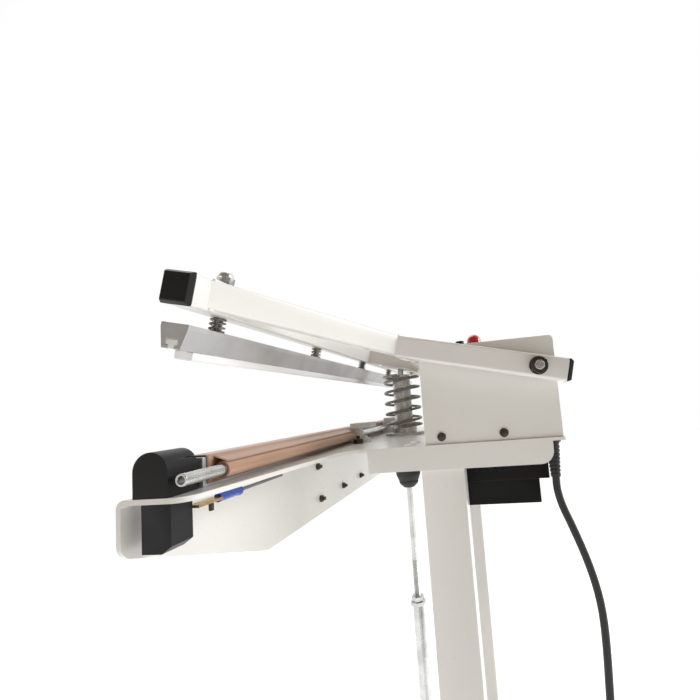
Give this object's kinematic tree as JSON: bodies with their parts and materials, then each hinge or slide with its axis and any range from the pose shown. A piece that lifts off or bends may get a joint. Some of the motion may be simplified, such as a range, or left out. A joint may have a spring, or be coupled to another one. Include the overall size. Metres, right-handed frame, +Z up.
{
  "type": "impulse heat sealer",
  "caption": "Foot operated impulse heat sealer on a two-post stand, with long sprung jaws, a pull rod and a floor pedal.",
  "frame": {"origin": "centre of the footprint, on the floor plane under the rubber feet", "axes": "+Z up, X along the sealing jaws, the operator stands at -Y"},
  "size_m": [0.734, 0.4315, 0.9189],
  "materials": {
    "cream_paint": "gloss paint, lightly orange-peeled",
    "zinc_steel": "zinc plated, satin",
    "dark_steel": "blackened steel",
    "spring_steel": "oiled spring steel",
    "black_plastic": "moulded, satin",
    "black_paint": "black satin paint",
    "black_rubber": "matte",
    "bar_aluminium": "extruded, satin",
    "ptfe_cloth": "coated glass cloth, fine weave",
    "silicone": "translucent white",
    "white_nylon": "moulded",
    "brass": "plain",
    "red_lens": "clear red, glossy",
    "board_green": "coated board"
  },
  "bodies": {
    "stand": {"bed_plate": "cream_paint", "panel_screws": "dark_steel", "post_left": "cream_paint", "post_right": "cream_paint", "post_bolts": "cream_paint", "runner_left": "cream_paint", "runner_right": "cream_paint", "runner_caps": "black_plastic", "rubber_feet": "black_rubber", "rear_cross_tube": "cream_paint", "pedal_shaft": "zinc_steel", "box_cover": "cream_paint", "box_side_left": "cream_paint", "box_side_right": "cream_paint", "pivot_shaft": "zinc_steel", "pivot_nuts": "dark_steel", "transformer_housing": "black_paint", "transformer_core": "dark_steel", "transformer_coil": "brass", "timer_board": "board_green", "terminal_block": "white_nylon", "lamp_lens": "red_lens", "lamp_base": "zinc_steel", "button_bezel": "black_plastic", "dial_plate": "bar_aluminium", "limit_switch": "black_plastic", "lower_bar": "bar_aluminium", "heater_strip": "zinc_steel", "ptfe_cloth": "ptfe_cloth", "end_block_left": "black_plastic", "end_block_right": "black_plastic", "wire_clips": "brass", "roll_saddles": "white_nylon", "guide_bush": "zinc_steel", "return_spring": "spring_steel", "cord_gland": "black_rubber", "power_cord": "black_rubber", "cord_coil": "black_rubber", "plug": "black_plastic"},
    "arm": {"front_tube": "cream_paint", "lever_left": "cream_paint", "lever_right": "cream_paint", "arm_braces": "cream_paint", "arm_ties": "cream_paint", "tube_caps": "black_plastic", "pivot_bushes": "brass", "pressure_springs": "spring_steel"},
    "pressure_bar": {"pressure_bar": "bar_aluminium", "rubber_strip": "silicone", "guide_screws": "zinc_steel"},
    "pull_rod": {"pull_rod": "zinc_steel", "rod_buffer": "black_rubber", "rod_nuts": "zinc_steel"},
    "pedal": {"pedal_frame": "cream_paint", "pedal_pad": "black_rubber"},
    "cloth_spool": {"roll_rod": "zinc_steel", "cloth_roll": "ptfe_cloth"},
    "power_button": {"power_button": "black_plastic"},
    "timer_knob": {"timer_knob": "black_plastic"},
    "switch_lever": {"switch_lever": "dark_steel"}
  },
  "joints": [
    {"name": "arm_hinge", "type": "hinge", "parent": "stand", "child": "arm", "pos_m": [0, 0.088, 0.844], "axis": [1, 0, 0], "range_deg": [0, 14.5], "stiffness_Nm_per_rad": 24, "springref_deg": -40.11, "deforming": ["return_spring"]},
    {"name": "pressure_slide", "type": "slide", "parent": "arm", "child": "pressure_bar", "axis": [0, 0.2368, 0.9715], "range_m": [0, 0.005], "stiffness_N_per_m": 4000, "springref_m": -0.008, "deforming": ["pressure_springs"]},
    {"name": "rod_slide", "type": "slide", "parent": "stand", "child": "pull_rod", "axis": [0, 0, -1], "range_m": [0, 0.0428]},
    {"name": "pedal_hinge", "type": "hinge", "parent": "stand", "child": "pedal", "pos_m": [0, 0.08, 0.062], "axis": [1, 0, 0], "range_deg": [0, 15.4]},
    {"name": "cloth_turn", "type": "hinge", "parent": "stand", "child": "cloth_spool", "pos_m": [0, -0.122, 0.7888], "axis": [1, 0, 0], "continuous": true},
    {"name": "button_press", "type": "slide", "parent": "stand", "child": "power_button", "axis": [0, 0, -1], "range_m": [0, 0.003], "stiffness_N_per_m": 300, "springref_m": -0.003},
    {"name": "timer_turn", "type": "hinge", "parent": "stand", "child": "timer_knob", "pos_m": [0, 0.043, 0.88], "axis": [0, 0, 1], "range_deg": [-150, 150]},
    {"name": "switch_press", "type": "hinge", "parent": "stand", "child": "switch_lever", "pos_m": [-0.024, -0.06, 0.728], "axis": [1, 0, 0], "range_deg": [0, 9], "stiffness_Nm_per_rad": 0.02, "springref_deg": -17.19}
  ],
  "couplings": [
    {"joint": "rod_slide", "follows": "arm_hinge", "m_per_rad": 0.168},
    {"joint": "pedal_hinge", "follows": "arm_hinge", "ratio": 1.0552}
  ]
}
